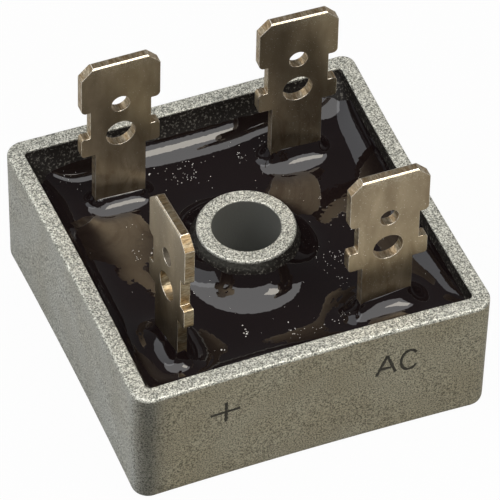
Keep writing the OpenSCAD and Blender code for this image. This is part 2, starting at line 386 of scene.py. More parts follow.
def right_edge():
    """Right-hand edges of the upper and of the lower cell, from the tip's band to the stem."""
    s = STAMP
    w, c, r, k = s["width"] / 2, s["cut"], s["head_r"], s["wing_r"]
    neck, stem, low = s["neck"] / 2, s["stem"] / 2, s["wing"] + s["wing_l"]
    upper = [(w - c + s["lead"], -s["lead"]), (w, -c)] + quarter(w - r, -s["head"] + r, r, 0, -90)
    upper += [(neck, -s["head"]), (neck, -SEAM)]
    lower = [(neck, -SEAM), (neck, -s["wing"])]
    lower += quarter(w - k, -s["wing"] - k, k, 90, 0) + quarter(w - k, -low + k, k, 0, -90)
    lower += [(stem, -low), (stem, -CELLS_END)]
    return upper, lower


def mirror_line(line):
    """The same line on the left-hand side, walked the other way."""
    return [(-x, y) for x, y in line[::-1]]


print("corners of the two cells' right-hand edges:", [len(edge) for edge in right_edge()])

# %% [markdown]
# In a cell, each point of the outline is joined to the point of the hole that lies in the same
# direction, and the rings between them crowd towards the hole. The strip is a plain grid. Points
# that two parts share are made one, so that the sheet has no seam.

# %% Cells and strips
def cell(edge, hole, rings=7):
    """Faces between an outline and the hole in it, each outline point blended with the hole's."""
    below, radius = hole
    loop = edge + mirror_line(edge)
    outline = split_line(loop + [loop[0]], PITCH)[:-1]
    centre = np.array([0, -below])
    ray = outline - centre
    rim = centre + radius * ray / np.linalg.norm(ray, axis=1)[:, None]
    out = np.linspace(0, 1, rings)[:, None, None] ** 1.5
    grid = rim[None] * (1 - out) + outline[None] * out
    index = np.arange(rings * len(outline)).reshape(rings, -1)
    nxt = np.roll(index, -1, axis=1)
    faces = np.stack([index[:-1], nxt[:-1], nxt[1:], index[1:]], -1).reshape(-1, 4)
    return grid.reshape(-1, 2), faces


def strip(widths, heights):
    """Faces of a plain strip whose half width goes with the height."""
    columns = split_line([(-widths[0], 0), (widths[0], 0)], PITCH)[:, 0] / widths[0]
    tall = np.repeat(np.array(heights)[:, None], len(columns), 1)
    grid = np.stack([np.outer(widths, columns), tall], -1)
    index = np.arange(grid.shape[0] * grid.shape[1]).reshape(grid.shape[:2])
    faces = np.stack([index[1:, :-1], index[1:, 1:], index[:-1, 1:], index[:-1, :-1]], -1)
    return grid.reshape(-1, 2), faces.reshape(-1, 4)


upper_cell = cell(right_edge()[0], STAMP["detent"])
print("upper cell:", [len(part) for part in upper_cell], "points and faces")

# %% The flat blank
FINE_FROM = 13.5  # from the tip to where the rows get close enough for the bend


def blank_parts(length):
    """The band at the tip, the two cells and the stem, each as points and faces."""
    s = STAMP
    upper, lower = right_edge()
    w = s["width"] / 2 - s["cut"]
    band = strip([w + s["lead"], w + s["lead"] / 2, w], [-s["lead"], -s["lead"] / 2, 0])
    down = np.arange(CELLS_END, FINE_FROM, 0.4)
    down = np.concatenate([down, np.linspace(FINE_FROM, length, 26)])
    stem = strip([s["stem"] / 2] * len(down), -down)
    return band, cell(upper, s["detent"]), cell(lower, s["wire"]), stem


def cross(u, v):
    """Flat cross product, which is positive where v lies to the left of u."""
    return u[:, 0] * v[:, 1] - u[:, 1] * v[:, 0]


def blank(length):
    """The flat stamping with its tip at y = 0: all parts joined, all faces the same way up."""
    points, faces, base = [], [], 0
    for p, f in blank_parts(length):
        points.append(p)
        faces.append(f + base)
        base += len(p)
    points, faces = np.concatenate(points), np.concatenate(faces)
    _, first, back = np.unique(points.round(4), axis=0, return_index=True, return_inverse=True)
    points, faces = points[first], back.reshape(-1)[faces]
    a, b, c, d = (points[faces[:, k]] for k in range(4))
    under = cross(b - a, c - a) + cross(c - a, d - a) < 0
    faces[under] = faces[under][:, ::-1]
    return points, faces


print("blank of 21.5 mm:", [len(part) for part in blank(21.5)], "points and faces on one side")

# %% [markdown]
# The blank gets its thickness next. Each side is the same grid moved half a thickness out, less
# near the tip, where both faces are bevelled so that a receptacle slides on. The edges that only
# one face uses are the rim of the sheet and of its holes: a wall joins the two sides there.

# %% The sheet
TIP_BEVEL = 0.12


def half_thickness(y):
    """Half the thickness, less a bevel that grows towards the tip."""
    return THICK / 2 - TIP_BEVEL * np.clip(1 + y / STAMP["lead"], 0, 1)


def open_edges(faces):
    """The edges that belong to one face alone, kept in that face's direction."""
    edges = np.concatenate([faces[:, [k, (k + 1) % 4]] for k in range(4)])
    keys = np.sort(edges, axis=1)
    _, back, counts = np.unique(keys, axis=0, return_inverse=True, return_counts=True)
    return edges[counts[back.reshape(-1)] == 1]


def sheet(length):
    """Each point's place across, along from the tip and through the sheet, the faces and rims."""
    points, faces = blank(length)
    half, count = half_thickness(points[:, 1]), len(points)
    across, along = np.tile(points[:, 0], 2), np.tile(-points[:, 1], 2)
    through = np.concatenate([-half, half])
    rim = open_edges(faces)
    walls = np.stack([rim[:, 1], rim[:, 0], rim[:, 0] + count, rim[:, 1] + count], 1)
    all_faces = np.concatenate([faces, faces[:, ::-1] + count, walls])
    return across, along, through, all_faces, np.arange(len(all_faces)) >= 2 * len(faces)


print("walls round the sheet and its holes:", sheet(21.5)[-1].sum(), "faces")

# %% [markdown]
# The bend is a formula too: down to the bend a point keeps its way along, in the bend that way
# turns into an angle, and past it into a distance along the foot. A bevel modifier rounds the
# edges, and gives them a material of their own, since the shears burnish them.

# %% Bend the sheet and round its edges
def bend(across, along, through, tip_z, foot_z):
    """Carries the flat blade down, round a quarter of a circle and out along the foot."""
    turn_z = foot_z + BEND + THICK / 2
    straight = tip_z - turn_z
    a = np.clip((along - straight) / BEND, 0, np.pi / 2)
    rest = np.clip(along - straight - BEND * np.pi / 2, 0, None)
    y = np.where(a > 0, BEND - (BEND - through) * np.cos(a) + rest, through)
    z = np.where(a > 0, turn_z - (BEND - through) * np.sin(a), tip_z - along)
    return np.column_stack([across, y, z])


def roll_edges(piece):
    """Rounds every sharp edge of a blade, in the piece's third material."""
    bevel = piece.modifiers.new("rolled_edges", "BEVEL")
    bevel.width = 0.07 * MM
    bevel.segments = 3
    bevel.material = 2
    bevel.limit_method = "ANGLE"
    bevel.angle_limit = np.radians(28)
    bevel.harden_normals = True


bent = bend(*sheet(21.5)[:3], tip_z=23, foot_z=4)
print("bent sheet from", bent.min(0).round(2), "to", bent.max(0).round(2))

# %% [markdown]
# Each blade is a little different. Its plating is darkened by its own share of painted shade,
# which may change on the way down to the resin, and the wall of one detent hole is painted dark
# and matte, as shade. Both are attributes. The bent sheet is then turned about the upright and
# moved to where the CAD blade stands.

# %% Make the blades
BLADE_SHADE = {"positive": (0.45, 1.0), "negative": (0.6, 0.6),  # at the tip, at the resin
        "ac_front": (0.25, 0.25), "ac_rear": (0, 0)}
BLADE_SHADE_FROM, BLADE_SHADE_OVER = 6.5, 5
DARK_HOLE = "positive"


def mark_blade(piece, name, across, along):
    """How much painted shade darkens the plating, blended from tip to resin, and the dark hole's
    wall.
    """
    at_tip, at_resin = BLADE_SHADE[name]
    down = np.clip((along - BLADE_SHADE_FROM) / BLADE_SHADE_OVER, 0, 1)
    add_attribute(piece, "blade_shade", at_tip + (at_resin - at_tip) * down)
    # The dark hole's wall, painted dark as shade.
    below, radius = STAMP["detent"]
    at_hole = np.hypot(across, along - below) < radius + 0.1
    add_attribute(piece, "shaded_hole", at_hole & (name == DARK_HOLE))


def make_blade(name, middle, turn, foot_z):
    """One blade: the sheet cut to length, bent, turned about the upright and put in its place."""
    straight = middle[2] - foot_z - BEND - THICK / 2
    across, along, through, faces, is_wall = sheet(straight + BEND * np.pi / 2 + FOOT - BEND)
    solid = bend(across, along, through, middle[2], foot_z)
    if volume(solid, faces) < 0:
        faces = faces[:, ::-1]
    c, s = np.cos(turn), np.sin(turn)
    placed = solid.copy()
    placed[:, 0] = middle[0] + solid[:, 0] * c - solid[:, 1] * s
    placed[:, 1] = middle[1] + solid[:, 0] * s + solid[:, 1] * c
    piece = make_mesh("blade_" + name, placed, faces)
    piece.data.polygons.foreach_set("material_index", is_wall.astype(np.int32))
    roll_edges(piece)
    mark_blade(piece, name, across, along)
    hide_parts("terminal_" + name)
    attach(piece, "root")
    print(piece.name, len(placed), "points, volume", round(abs(volume(solid, faces)), 1), "mm3")
    return piece


blades = [make_blade(n, *PLACES[n]) for n in PLACES]

# %% [markdown]
# ## Resin
# Liquid epoxy is poured in and wets the metal, so it climbs every wall. A fluid simulation isn't
# needed, because a wetting liquid's height obeys one short rule: its curvature is proportional
# to its height. Two numbers shape each slope: its rise, which is how high the resin stands at the
# metal, and its climb, the distance in which that falls to about a third. The walls, the boss
# and the stems each have their own, because such a casting never wets evenly. The slope behind
# the boss, on the rear right, is shorter than the one in front of it.

# %% Heights at the metal
LEVEL = 7.6
CLIMB = 1.6
WALLS = {"front": (2.9, 1.6), "right": (2.45, 2.0), "rear": (3.25, 1.3), "left": (2.9, 1.6)}
WALL_ZONE = 3.0  # width of the strip in which a wall's own rise and climb count
BOSS_RISE = 3.1
STEM_RISE = {"positive": (2.5, 0.4), "negative": (1.85, 0.05),  # rise, and the slant across it
             "ac_front": (2.9, 0.25), "ac_rear": (1.4, -0.1)}


def in_blade(x, y, middle, turn):
    """A place in a blade's own directions: along its width, and across its thickness."""
    u = (x - middle[0]) * np.cos(turn) + (y - middle[1]) * np.sin(turn)
    v = -(x - middle[0]) * np.sin(turn) + (y - middle[1]) * np.cos(turn)
    return u, v


def wall_value(x, y, which):
    """The near wall's rise (which = 0) or climb (1), blended where two walls are near."""
    gaps = (y + INNER, INNER - x, INNER - y, x + INNER)
    shares = [np.clip(1 - gap / WALL_ZONE, 0, 1) ** 2 + 1e-9 for gap in gaps]
    return sum(w * v[which] for w, v in zip(shares, WALLS.values())) / sum(shares)


def heights_at_metal(x, y):
    """Heights above the level where the resin touches metal, and which places are held there."""
    height = np.zeros_like(x)
    held = (np.abs(x) > INNER - 1e-6) | (np.abs(y) > INNER - 1e-6)
    height[held] = wall_value(x, y, 0)[held]
    boss = np.hypot(x, y) <= BOSS_R
    height[boss] = BOSS_RISE
    held |= boss
    for name, (middle, turn, _) in PLACES.items():
        u, v = in_blade(x, y, middle, turn)
        stem = (np.abs(u) <= STAMP["stem"] / 2) & (np.abs(v) <= THICK / 2)
        rise, slant = STEM_RISE[name]
        height[stem] = (rise + slant * u / (STAMP["stem"] / 2))[stem]
        held |= stem
    return height, held


print("rise at the walls' middles:", {name: rise for name, (rise, _) in WALLS.items()})

# %% [markdown]
# The climb varies from place to place in the same way. It is the walls' own near them, less
# behind the boss, and short round the two rear stems, where the resin barely wetted the metal.

# %% Climb at every place
STEM_CLIMB = 0.9
SHORT_STEMS = ("negative", "ac_rear")
BOSS_LESS = 0.75  # taken off the climb behind the boss
BOSS_ZONE = 3.5
BEHIND = (0.8, 0.6)  # direction from the bore in which that is so


def climbs(x, y):
    """Distance in which a slope falls to about a third, at each place."""
    to_wall = INNER - np.maximum(np.abs(x), np.abs(y))
    climb = CLIMB + (wall_value(x, y, 1) - CLIMB) * np.clip(WALL_ZONE - to_wall, 0, 1)
    from_middle = np.hypot(x, y)
    behind = np.clip((BEHIND[0] * x + BEHIND[1] * y) / np.maximum(from_middle, 1), 0, 1)
    climb = climb - BOSS_LESS * behind * np.clip(BOSS_ZONE + BOSS_R - from_middle, 0, 1)
    for name in SHORT_STEMS:
        u, v = in_blade(x, y, *PLACES[name][:2])
        past_edge = np.maximum(np.abs(u) - STAMP["stem"] / 2, 0)
        past_face = np.maximum(np.abs(v) - THICK / 2, 0)
        away = np.clip(np.hypot(past_edge, past_face) / 1.6 - 0.4, 0, 1)
        climb = np.minimum(climb, STEM_CLIMB + (CLIMB - STEM_CLIMB) * away)
    return climb


print("climb in open resin:", CLIMB, "behind the boss:", CLIMB - BOSS_LESS)

# %% [markdown]
# On a grid, the rule makes every height a little less than the mean of its four neighbours. It
# is applied to the whole grid over and over, until nothing changes, while the heights at the
# metal are held. Odd and even cells take turns, as on a chess board, and each step goes nearly
# twice as far as the rule asks, which settles the grid much sooner.

# %% Settle the resin
CELL = 0.1


def settle(rounds=600, push=1.88):
    """Heights above the level: each is the sum of its four neighbours, divided by four plus the
    square of cell over climb, but for those that the metal holds."""
    line = np.linspace(-INNER, INNER, int(round(2 * INNER / CELL)) + 1)
    x, y = np.meshgrid(line, line)
    height, held = heights_at_metal(x, y)
    weight = (4 + (CELL / climbs(x, y)) ** 2)[1:-1, 1:-1]
    cells = np.add.outer(np.arange(len(line)), np.arange(len(line))) % 2
    turns = [(cells == k) & ~held for k in (0, 1)]
    for _ in range(rounds):
        for free in turns:
            around = np.zeros_like(height)
            around[1:-1, 1:-1] = (height[:-2, 1:-1] + height[2:, 1:-1]
                                  + height[1:-1, :-2] + height[1:-1, 2:]) / weight
            height = np.where(free, height + push * (around - height), height)
    return height


settled = settle()
print("resin settled from", round(LEVEL + settled.min(), 2), "to", round(LEVEL + settled.max(), 2))

# %% [markdown]
# The surface has more points than the grid, and a mirror-smooth finish shows every kink. So
# heights between the grid's lines come from a cubic spline, which blends sixteen of them.

# %% Read the height anywhere
def spline_weights(t):
    """The four weights of a smooth cubic spline between two grid lines."""
    return [(1 - t) ** 3 / 6, (3 * t**3 - 6 * t**2 + 4) / 6,
            (-3 * t**3 + 3 * t**2 + 3 * t + 1) / 6, t**3 / 6]


def sample(grid, x, y):
    """Smooth height at any place, from sixteen grid heights around it."""
    size = len(grid) - 1
    column, row = (x + INNER) / CELL, (y + INNER) / CELL
    i, j = np.floor(row).astype(int), np.floor(column).astype(int)
    total = 0
    for a, wi in enumerate(spline_weights(row - i)):
        for b, wj in enumerate(spline_weights(column - j)):
            near = grid[np.clip(i + a - 1, 0, size), np.clip(j + b - 1, 0, size)]
            total = total + wi * wj * near
    return total


here = np.array([0.0]), np.array([-8.0])
print("height in the open resin at 0, -8:", (LEVEL + sample(settled, *here)).round(3))

# %% [markdown]
# The surface itself is one ring-shaped grid from the boss to the walls, carried on down the wall
# and back under the resin, so that the solid is closed. The rings crowd at both ends, where the
# slopes are steep. At the very wall the resin runs out in a thin film that ends at one height
# all round, and its border is ragged, as a sum of sine waves with random phases.

# %% The resin's surface
TOP_RINGS = 170
EVEN = 0.4  # how evenly the rings are spaced, from 0 to 1
FILM_TOP = 10.87
FILM_REACH = 0.13
RAGGED_REACH = 0.2


def waves(t, count, lowest, highest, seed):
    """A smooth random line round a closed path: whole-number sine waves with random phases."""
    rng = np.random.default_rng(seed)
    turns = rng.integers(lowest, highest, count)
    phases = rng.uniform(0, 2 * np.pi, count)
    sizes = rng.uniform(0.4, 1.0, count)
    line = (sizes[:, None] * np.sin(turns[:, None] * 2 * np.pi * t + phases[:, None])).sum(0)
    return line / sizes.sum()


def ring_places():
    """Place of each point seen from above: blended between the boss's ring and the wall's."""
    near_ends = (1 - np.cos(np.linspace(0, np.pi, TOP_RINGS))) / 2
    out = (1 - EVEN) * near_ends + EVEN * np.linspace(0, 1, TOP_RINGS)
    return inner_ring[None] * (1 - out[:, None, None]) + outer_ring[None] * out[:, None, None]


def surface_heights(flat, from_wall):
    """Settled heights, drawn up to the film's ragged border in the last bit before the wall."""
    z = LEVEL + sample(settled, flat[..., 0], flat[..., 1])
    z = z + (FILM_TOP - z[-1]) * np.exp(-from_wall / FILM_REACH)
    around = np.arange(STEPS) / STEPS
    fine = 0.07 * waves(around, count=60, lowest=30, highest=200, seed=8)
    broad = 0.06 * waves(around, count=8, lowest=2, highest=12, seed=9)
    z = z + (fine + broad) * np.exp(-from_wall / RAGGED_REACH)
    return np.minimum(z, HEIGHT - 0.04)


inner_ring = CIRCLE * (BOSS_R - 0.02)
outer_ring = square_row(INNER, INNER_R, 0)[:, :2] - NORMAL * 0.004
flat = ring_places()
from_wall = np.linalg.norm(outer_ring[None] - flat, axis=2)
resin_z = surface_heights(flat, from_wall)
under = [np.column_stack([ring, np.full(STEPS, BASE + 0.01)]) for ring in (outer_ring, inner_ring)]
resin = ring_solid("resin_fill", np.concatenate([np.dstack([flat, resin_z]), np.stack(under)]))
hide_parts("potting")
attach(resin, "root")
print("resin from", round(resin_z.min(), 2), "to", round(resin_z.max(), 2), "mm")

# %% [markdown]
# High on the walls and on the boss the resin is only a film over the cast metal, which looks
# dull. On the boss's front left side even the film is worn, and the metal's grain shows through,
# in a dark tone that is painted shade. The material gets both places as attributes, each a soft
# step in height.

# %% Where the resin is only a film
FILM_FROM = 9.9
REAR_LOWER = 0.6  # how much lower the film starts on the rear wall
WALL_FILM = 2.4  # the film's tone ends this far from the wall
BOSS_FILM_FROM = 9.7
BARE_FROM = 10.0
BARE_SIDE = (-0.75, -0.66)


def above(value, start, fade):
    """0 below a start and 1 above it, with a straight fade between."""
    return np.clip((value - start) / fade, 0, 1)


def mark_resin(name, share):
    """Puts the surface's numbers on the resin, and nought on its two rows underneath."""
    add_attribute(resin, name, np.concatenate([share, np.zeros((2, STEPS))]))


film_from = FILM_FROM - REAR_LOWER * above(flat[..., 1], 10.5, 0.8)
on_wall = np.clip(WALL_FILM - from_wall, 0, 1) * above(resin_z, film_from, 0.12)
at_boss = np.hypot(flat[..., 0], flat[..., 1]) < BOSS_R + 0.7
on_boss = above(resin_z, BOSS_FILM_FROM, 0.25) * at_boss
bare = on_boss * above(resin_z, BARE_FROM, 0.3) * above(CIRCLE @ np.array(BARE_SIDE), 0.4, 0.4)
mark_resin("film", np.clip(on_wall + on_boss, 0, 1))
mark_resin("bare", bare)
print("film on", (on_wall + on_boss > 0.5).sum(), "points, bare on", (bare > 0.5).sum())

# %% [markdown]
# Dust fell on the resin before it set. Each speck is a tiny eight-sided crystal, half sunk in the
# surface. Most lie in loose clusters and the rest are strewn about, and a seed keeps them there.

# %% Dust
CLUSTERS = [  # x, y, spread in x, spread in y, how many, size
    (-1.2, 9.4, 1.2, 0.7, 46, 1.0), (3.4, 9.7, 0.2, 0.5, 12, 1.0),
    (-10.3, 11.2, 0.7, 0.7, 12, 0.8), (8.7, 0.6, 0.6, 1.3, 14, 0.9),
    (6.1, -3.0, 0.7, 0.6, 34, 0.9), (5.6, -4.9, 0.3, 0.6, 10, 0.8),
    (6.5, 10.2, 1.8, 0.9, 16, 0.8), (-3.1, -7.8, 0.18, 0.3, 9, 1.7),
    (0.2, -9.0, 0.25, 0.35, 8, 1.4), (-5.4, -8.9, 0.08, 0.06, 3, 1.6),
    (-7.8, 2.9, 0.15, 0.35, 8, 1.1), (-6.7, 2.4, 0.06, 0.06, 3, 1.5),
    (-3.9, 10.2, 0.12, 0.08, 3, 1.5), (2.2, -9.4, 1.4, 0.25, 22, 0.9),
    (7.5, 3.4, 0.1, 0.1, 3, 1.3), (-6.0, -3.9, 0.06, 0.06, 2, 1.7),
    (-5.3, -2.8, 0.08, 0.1, 3, 1.2), (0, 0, 5.8, 5.8, 110, 0.75),
]
SPECK_SIZES = (0.022, 0.062)
WALL_CLEAR, BOSS_CLEAR = 1.0, 0.8
STEM_CLEAR = (2.6, 1.0)  # along a blade's width and across its thickness


def on_metal(x, y):
    """Whether a place is too near to a wall, to the boss or to a blade for a speck."""
    if max(abs(x), abs(y)) > INNER - WALL_CLEAR or np.hypot(x, y) < BOSS_R + BOSS_CLEAR:
        return True
    return any(np.all(np.abs(in_blade(x, y, m, t)) < STEM_CLEAR) for m, t, _ in PLACES.values())


def strew_dust(seed=21):
    """Corners and faces of all the specks: an octahedron each, stretched by chance."""
    rng = np.random.default_rng(seed)
    corner = np.array([[1, 0, 0], [0, 1, 0], [-1, 0, 0], [0, -1, 0], [0, 0, 1], [0, 0, -1]], float)
    side = np.array([[0, 1, 4], [1, 2, 4], [2, 3, 4], [3, 0, 4],
                     [1, 0, 5], [2, 1, 5], [3, 2, 5], [0, 3, 5]])
    points, faces = [], []
    for cx, cy, wide, deep, count, size in CLUSTERS:
        for x, y in rng.normal((cx, cy), (wide, deep), (count, 2)):
            if on_metal(x, y):
                continue
            z = LEVEL + sample(settled, np.array([x]), np.array([y]))[0]
            stretch = rng.uniform(*SPECK_SIZES, 3) * size
            faces.append(side + 6 * len(points))
            points.append(corner * stretch + (x, y, z))
    return np.concatenate(points), np.concatenate(faces)


speck_points, speck_faces = strew_dust()
specks = make_mesh("dust_specks", speck_points, speck_faces)
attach(specks, "root")
print("dust specks:", len(speck_points) // 6)

# %% [markdown]
# ## Polarity marks
# The front face carries printed signs for the terminals behind it: a plus, and the letters for
# alternating current. Each stroke is a line with a width, laid flat on the leaning, sunken face,
# and a thin wall gives it the thickness of ink.

# %% Ink strokes
INK_STEP = 0.12
INK_WIDTH = 0.25
INK_UNEVEN = 0.18
INK_LIFT = 0.006
INK_SEED = 40
LINES = [  # two of the plus and three of the A, each from one end to the other in x and z
    ((-8.45, 7.28), (-6.09, 7.35)), ((-7.21, 8.36), (-7.21, 6.27)),
    ((4.9, 6.45), (5.74, 8.46)), ((5.74, 8.46), (6.46, 6.44)), ((5.22, 7.12), (6.1, 7.08)),
]


def ellipse_arc(x, z, across, up, start, end, steps=28):
    """Points on an ellipse about x, z, from one angle to another in degrees."""
    a = np.radians(np.linspace(start, end, steps))
    return np.column_stack([x + across * np.cos(a), z + up * np.sin(a)])


def ribbon(line, seed):
    """A flat band along a line: half the width to each side, a little uneven as print is."""
    step = np.gradient(line, axis=0)
    step /= np.linalg.norm(step, axis=1)[:, None]
    side = np.column_stack([-step[:, 1], step[:, 0]])
    rng = np.random.default_rng(seed)
    half = INK_WIDTH / 2 * (1 + INK_UNEVEN * rng.standard_normal(len(line)))[:, None]
    return np.stack([line - side * half, line + side * half], 1)


def make_ink(strokes):
    """All strokes in one mesh, a hair's breadth in front of the leaning face."""
    points, faces, base = [], [], 0
    for k, line in enumerate(strokes):
        x, z = ribbon(line, INK_SEED + k).reshape(-1, 2).T
        sunk = SUNK["front"] * (1 - (x / (HALF - CORNER_R)) ** 2)
        points.append(np.column_stack([x, -(HALF - lean_at(z) - sunk) - INK_LIFT, z]))
        i = np.arange(len(line) - 1) * 2 + base
        faces.append(np.stack([i, i + 1, i + 3, i + 2], 1))
        base += 2 * len(line)
    return np.concatenate(points), np.concatenate(faces)


strokes = [split_line(ends, INK_STEP) for ends in LINES]
strokes.append(ellipse_arc(7.56, 7.4, 0.68, 1.04, 38, 322))
ink = make_mesh("polarity_marks", *make_ink(strokes))
coat = ink.modifiers.new("ink_thickness", "SOLIDIFY")
coat.thickness = 0.012 * MM
coat.offset = 0
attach(ink, "root")
print("ink strokes:", len(strokes))

# %% [markdown]
# ## Finishes
# The next helpers keep the node trees short. Each finish reads Object coordinates in metres, so
# a grain of a given size is a noise with one over that size as its scale.

# %% Node helpers
class Finish:
    """A new material and short ways to add nodes to it."""

    def __init__(self, name):
        """Starts from the plain shader, with Object coordinates for every pattern."""
        self.material = bpy.data.materials.new(name)
        self.material.use_nodes = True
        self.tree = self.material.node_tree
        self.shader = self.tree.nodes["Principled BSDF"]
        self.place = self.node("ShaderNodeTexCoord").outputs["Object"]

    def node(self, kind, **values):
        """Adds a node and sets its properties, or its inputs where it has one of that name."""
        n = self.tree.nodes.new(kind)
        for key, value in values.items():
            if hasattr(n, key):
                setattr(n, key, value)
            else:
                n.inputs[key.replace("_", " ")].default_value = value
        return n

    def link(self, out, into):
        """Joins one node's output to another's input."""
        self.tree.links.new(out, into)

    def noise(self, size_mm, detail=2.0, rough=0.5, warp=0.0):
        """Noise whose blobs are about that many millimetres across."""
        n = self.node("ShaderNodeTexNoise")
        n.inputs["Scale"].default_value = 1 / (size_mm * MM)
        n.inputs["Detail"].default_value = detail
        n.inputs["Roughness"].default_value = rough
        n.inputs["Distortion"].default_value = warp
        self.link(self.place, n.inputs["Vector"])
        return n.outputs["Fac"]

    def ramp(self, value, *stops):
        """Colour ramp from (position, colour) pairs."""
        n = self.node("ShaderNodeValToRGB")
        self.link(value, n.inputs["Fac"])
        bar = n.color_ramp.elements
        while len(bar) < len(stops):
            bar.new(0.5)
        for mark, (at, colour) in zip(bar, stops):
            mark.position = at
            mark.color = (*colour, 1)
        return n.outputs["Color"]

    def remap(self, value, low, high, to_low=0.0, to_high=1.0):
        """Carries a range of numbers over to another, and stops at its ends."""
        n = self.node("ShaderNodeMapRange")
        names = ("From Min", "From Max", "To Min", "To Max")
        for key, v in zip(names, (low, high, to_low, to_high)):
            n.inputs[key].default_value = v
        self.link(value, n.inputs["Value"])
        return n.outputs["Result"]

    def math(self, operation, a, b):
        """One sum on two values, each a number or a socket."""
        n = self.node("ShaderNodeMath", operation=operation)
        for k, v in enumerate((a, b)):
            if isinstance(v, (int, float)):
                n.inputs[k].default_value = v
            else:
                self.link(v, n.inputs[k])
        return n.outputs[0]

    def mix(self, share, a, b, blend="MIX"):
        """Blends two colours, each a colour or a socket, by a share."""
        n = self.node("ShaderNodeMix", data_type="RGBA", blend_type=blend)
        for socket, v in ((n.inputs[0], share), (n.inputs[6], a), (n.inputs[7], b)):
            if isinstance(v, (int, float)):
                socket.default_value = v
            elif isinstance(v, tuple):
                socket.default_value = (*v, 1)
            else:
                self.link(v, socket)
        return n.outputs[2]

    def tint(self, tone, colour):
        """The tone multiplied by a colour, as a stain or a shadow does it."""
        return self.mix(1.0, tone, colour, "MULTIPLY")

    def bump(self, height, depth_mm, strength=1.0, under=None):
        """Bump whose full height is that many millimetres."""
        n = self.node("ShaderNodeBump")
        n.inputs["Strength"].default_value = strength
        n.inputs["Distance"].default_value = depth_mm * MM
        self.link(height, n.inputs["Height"])
        if under is not None:
            self.link(under, n.inputs["Normal"])
        return n.outputs["Normal"]

    def attribute(self, name):
        """A number that the mesh carries at each vertex."""
        return self.node("ShaderNodeAttribute", attribute_name=name).outputs["Fac"]

    def height(self):
        """Height above the underside, in metres."""
        s = self.node("ShaderNodeSeparateXYZ")
        self.link(self.place, s.inputs[0])
        return s.outputs["Z"]

    def set(self, **values):
        """Sets the shader's inputs, each to a number, a colour or another node's output."""
        for key, value in values.items():
            socket = self.shader.inputs[key.replace("_", " ")]
            if hasattr(value, "is_output"):
                self.link(value, socket)
            else:
                socket.default_value = value


def paint(piece, material):
    """Puts a material into a piece's first slot."""
    if not len(piece.data.materials):
        piece.data.materials.append(material)
    piece.data.materials[0] = material


print("helpers:", [name for name in vars(Finish) if name[0] != "_"])

# %% [markdown]
# The cast walls are dull. The top of the rim and of the boss is blasted, and its lighter tone and
# brighter grains are partly painted light, where it faces the overhead lamp. The front side is
# darker and warmer and the upright corner beside it darker and cooler, both painted shade, and the
# bore is a flat dark grey, painted shade too. One fine noise gives both the colour of the grains
# and their bump, so that light and relief agree.

# %% Blasted aluminium
LIT_TOP_FROM, LIT_TOP_FULL = 0.01068, 0.01082  # heights in metres at which the top's painted light starts

alu = Finish("blasted_aluminium")
grain = alu.noise(0.115, 1, 0.6)
coarse = alu.noise(0.3, 2, 0.5)
cloud = alu.noise(4.5, 2, 0.5)
on_top = alu.remap(alu.height(), LIT_TOP_FROM, LIT_TOP_FULL)

wall_tone = alu.ramp(grain, (0.34, (0.2, 0.2, 0.18)), (0.46, (0.47, 0.47, 0.43)),
                     (0.68, (0.74, 0.74, 0.69)))
cooler = alu.tint(wall_tone, (0.9, 0.88, 0.84))
wall_tone = alu.mix(alu.remap(cloud, 0.35, 0.65), wall_tone, cooler)
# Painted shade: the front side darker and warmer, the upright corner darker and cooler.
for place, shade in (("front_side", (0.72, 0.67, 0.55)), ("shaded_corner", (0.48, 0.51, 0.58))):
    wall_tone = alu.mix(alu.attribute(place), wall_tone, alu.tint(wall_tone, shade))
# Painted shade in the bore: a flat dark grey.
wall_tone = alu.mix(alu.attribute("bore"), wall_tone, (0.26, 0.262, 0.24))

pits = alu.remap(coarse, 0.36, 0.44)
# The top's lighter tone is painted light; its dark pits are the blasted texture.
lit_top_tone = alu.ramp(grain, (0.34, (0.11, 0.11, 0.095)), (0.44, (0.385, 0.38, 0.325)),
                    (0.68, (0.89, 0.88, 0.785)))
lit_top_tone = alu.mix(alu.remap(pits, 0, 1, 0.55, 0.0), lit_top_tone, (0.12, 0.125, 0.11))

alu.set(Base_Color=alu.mix(on_top, wall_tone, lit_top_tone))
alu.set(Metallic=alu.remap(on_top, 0, 1, 0.75, 0.45), Roughness=alu.remap(on_top, 0, 1, 0.62, 0.5))
alu.set(Normal=alu.bump(grain, 0.05, 0.6, alu.bump(coarse, 0.05, 0.35)))
paint(case_shell, alu.material)
print(alu.material.name, len(alu.tree.nodes), "nodes")

# %% [markdown]
# The blades are plated. The plating is hazy along the strip, darker brown in blotches low down,
# near the resin and around the wings, scuffed at the tip, and darkened by painted shade where the
# attribute says so.

# %% Plated blades
plate = Finish("plated_blade")
fine = plate.noise(0.12, 3, 0.6)
unstretched = plate.place
long_way = plate.node("ShaderNodeMapping")
long_way.inputs["Scale"].default_value = (1, 1, 0.35)
plate.link(unstretched, long_way.inputs["Vector"])
plate.place = long_way.outputs["Vector"]
haze = plate.noise(1.9, 2, 0.5, 0.4)
blotch_noise = plate.noise(0.9, 4, 0.6, 0.8)
plate.place = unstretched

plating = plate.ramp(haze, (0.34, (0.42, 0.33, 0.215)), (0.66, (0.6, 0.485, 0.33)))
# Darker brown blotches, more of them towards the bottom.
low_down = plate.remap(plate.height(), 0.0095, 0.0165, 1.0, 0.25)
low_blotches = plate.math("MULTIPLY", low_down, plate.remap(blotch_noise, 0.45, 0.65))
plating = plate.mix(low_blotches, plating, (0.32, 0.23, 0.14))
at_tip = plate.remap(plate.height(), 0.0219, 0.0228)
scuffed = plate.math("MULTIPLY", at_tip, plate.remap(fine, 0.45, 0.62))
plating = plate.mix(plate.math("MULTIPLY", scuffed, 0.6), plating, (0.85, 0.77, 0.6))
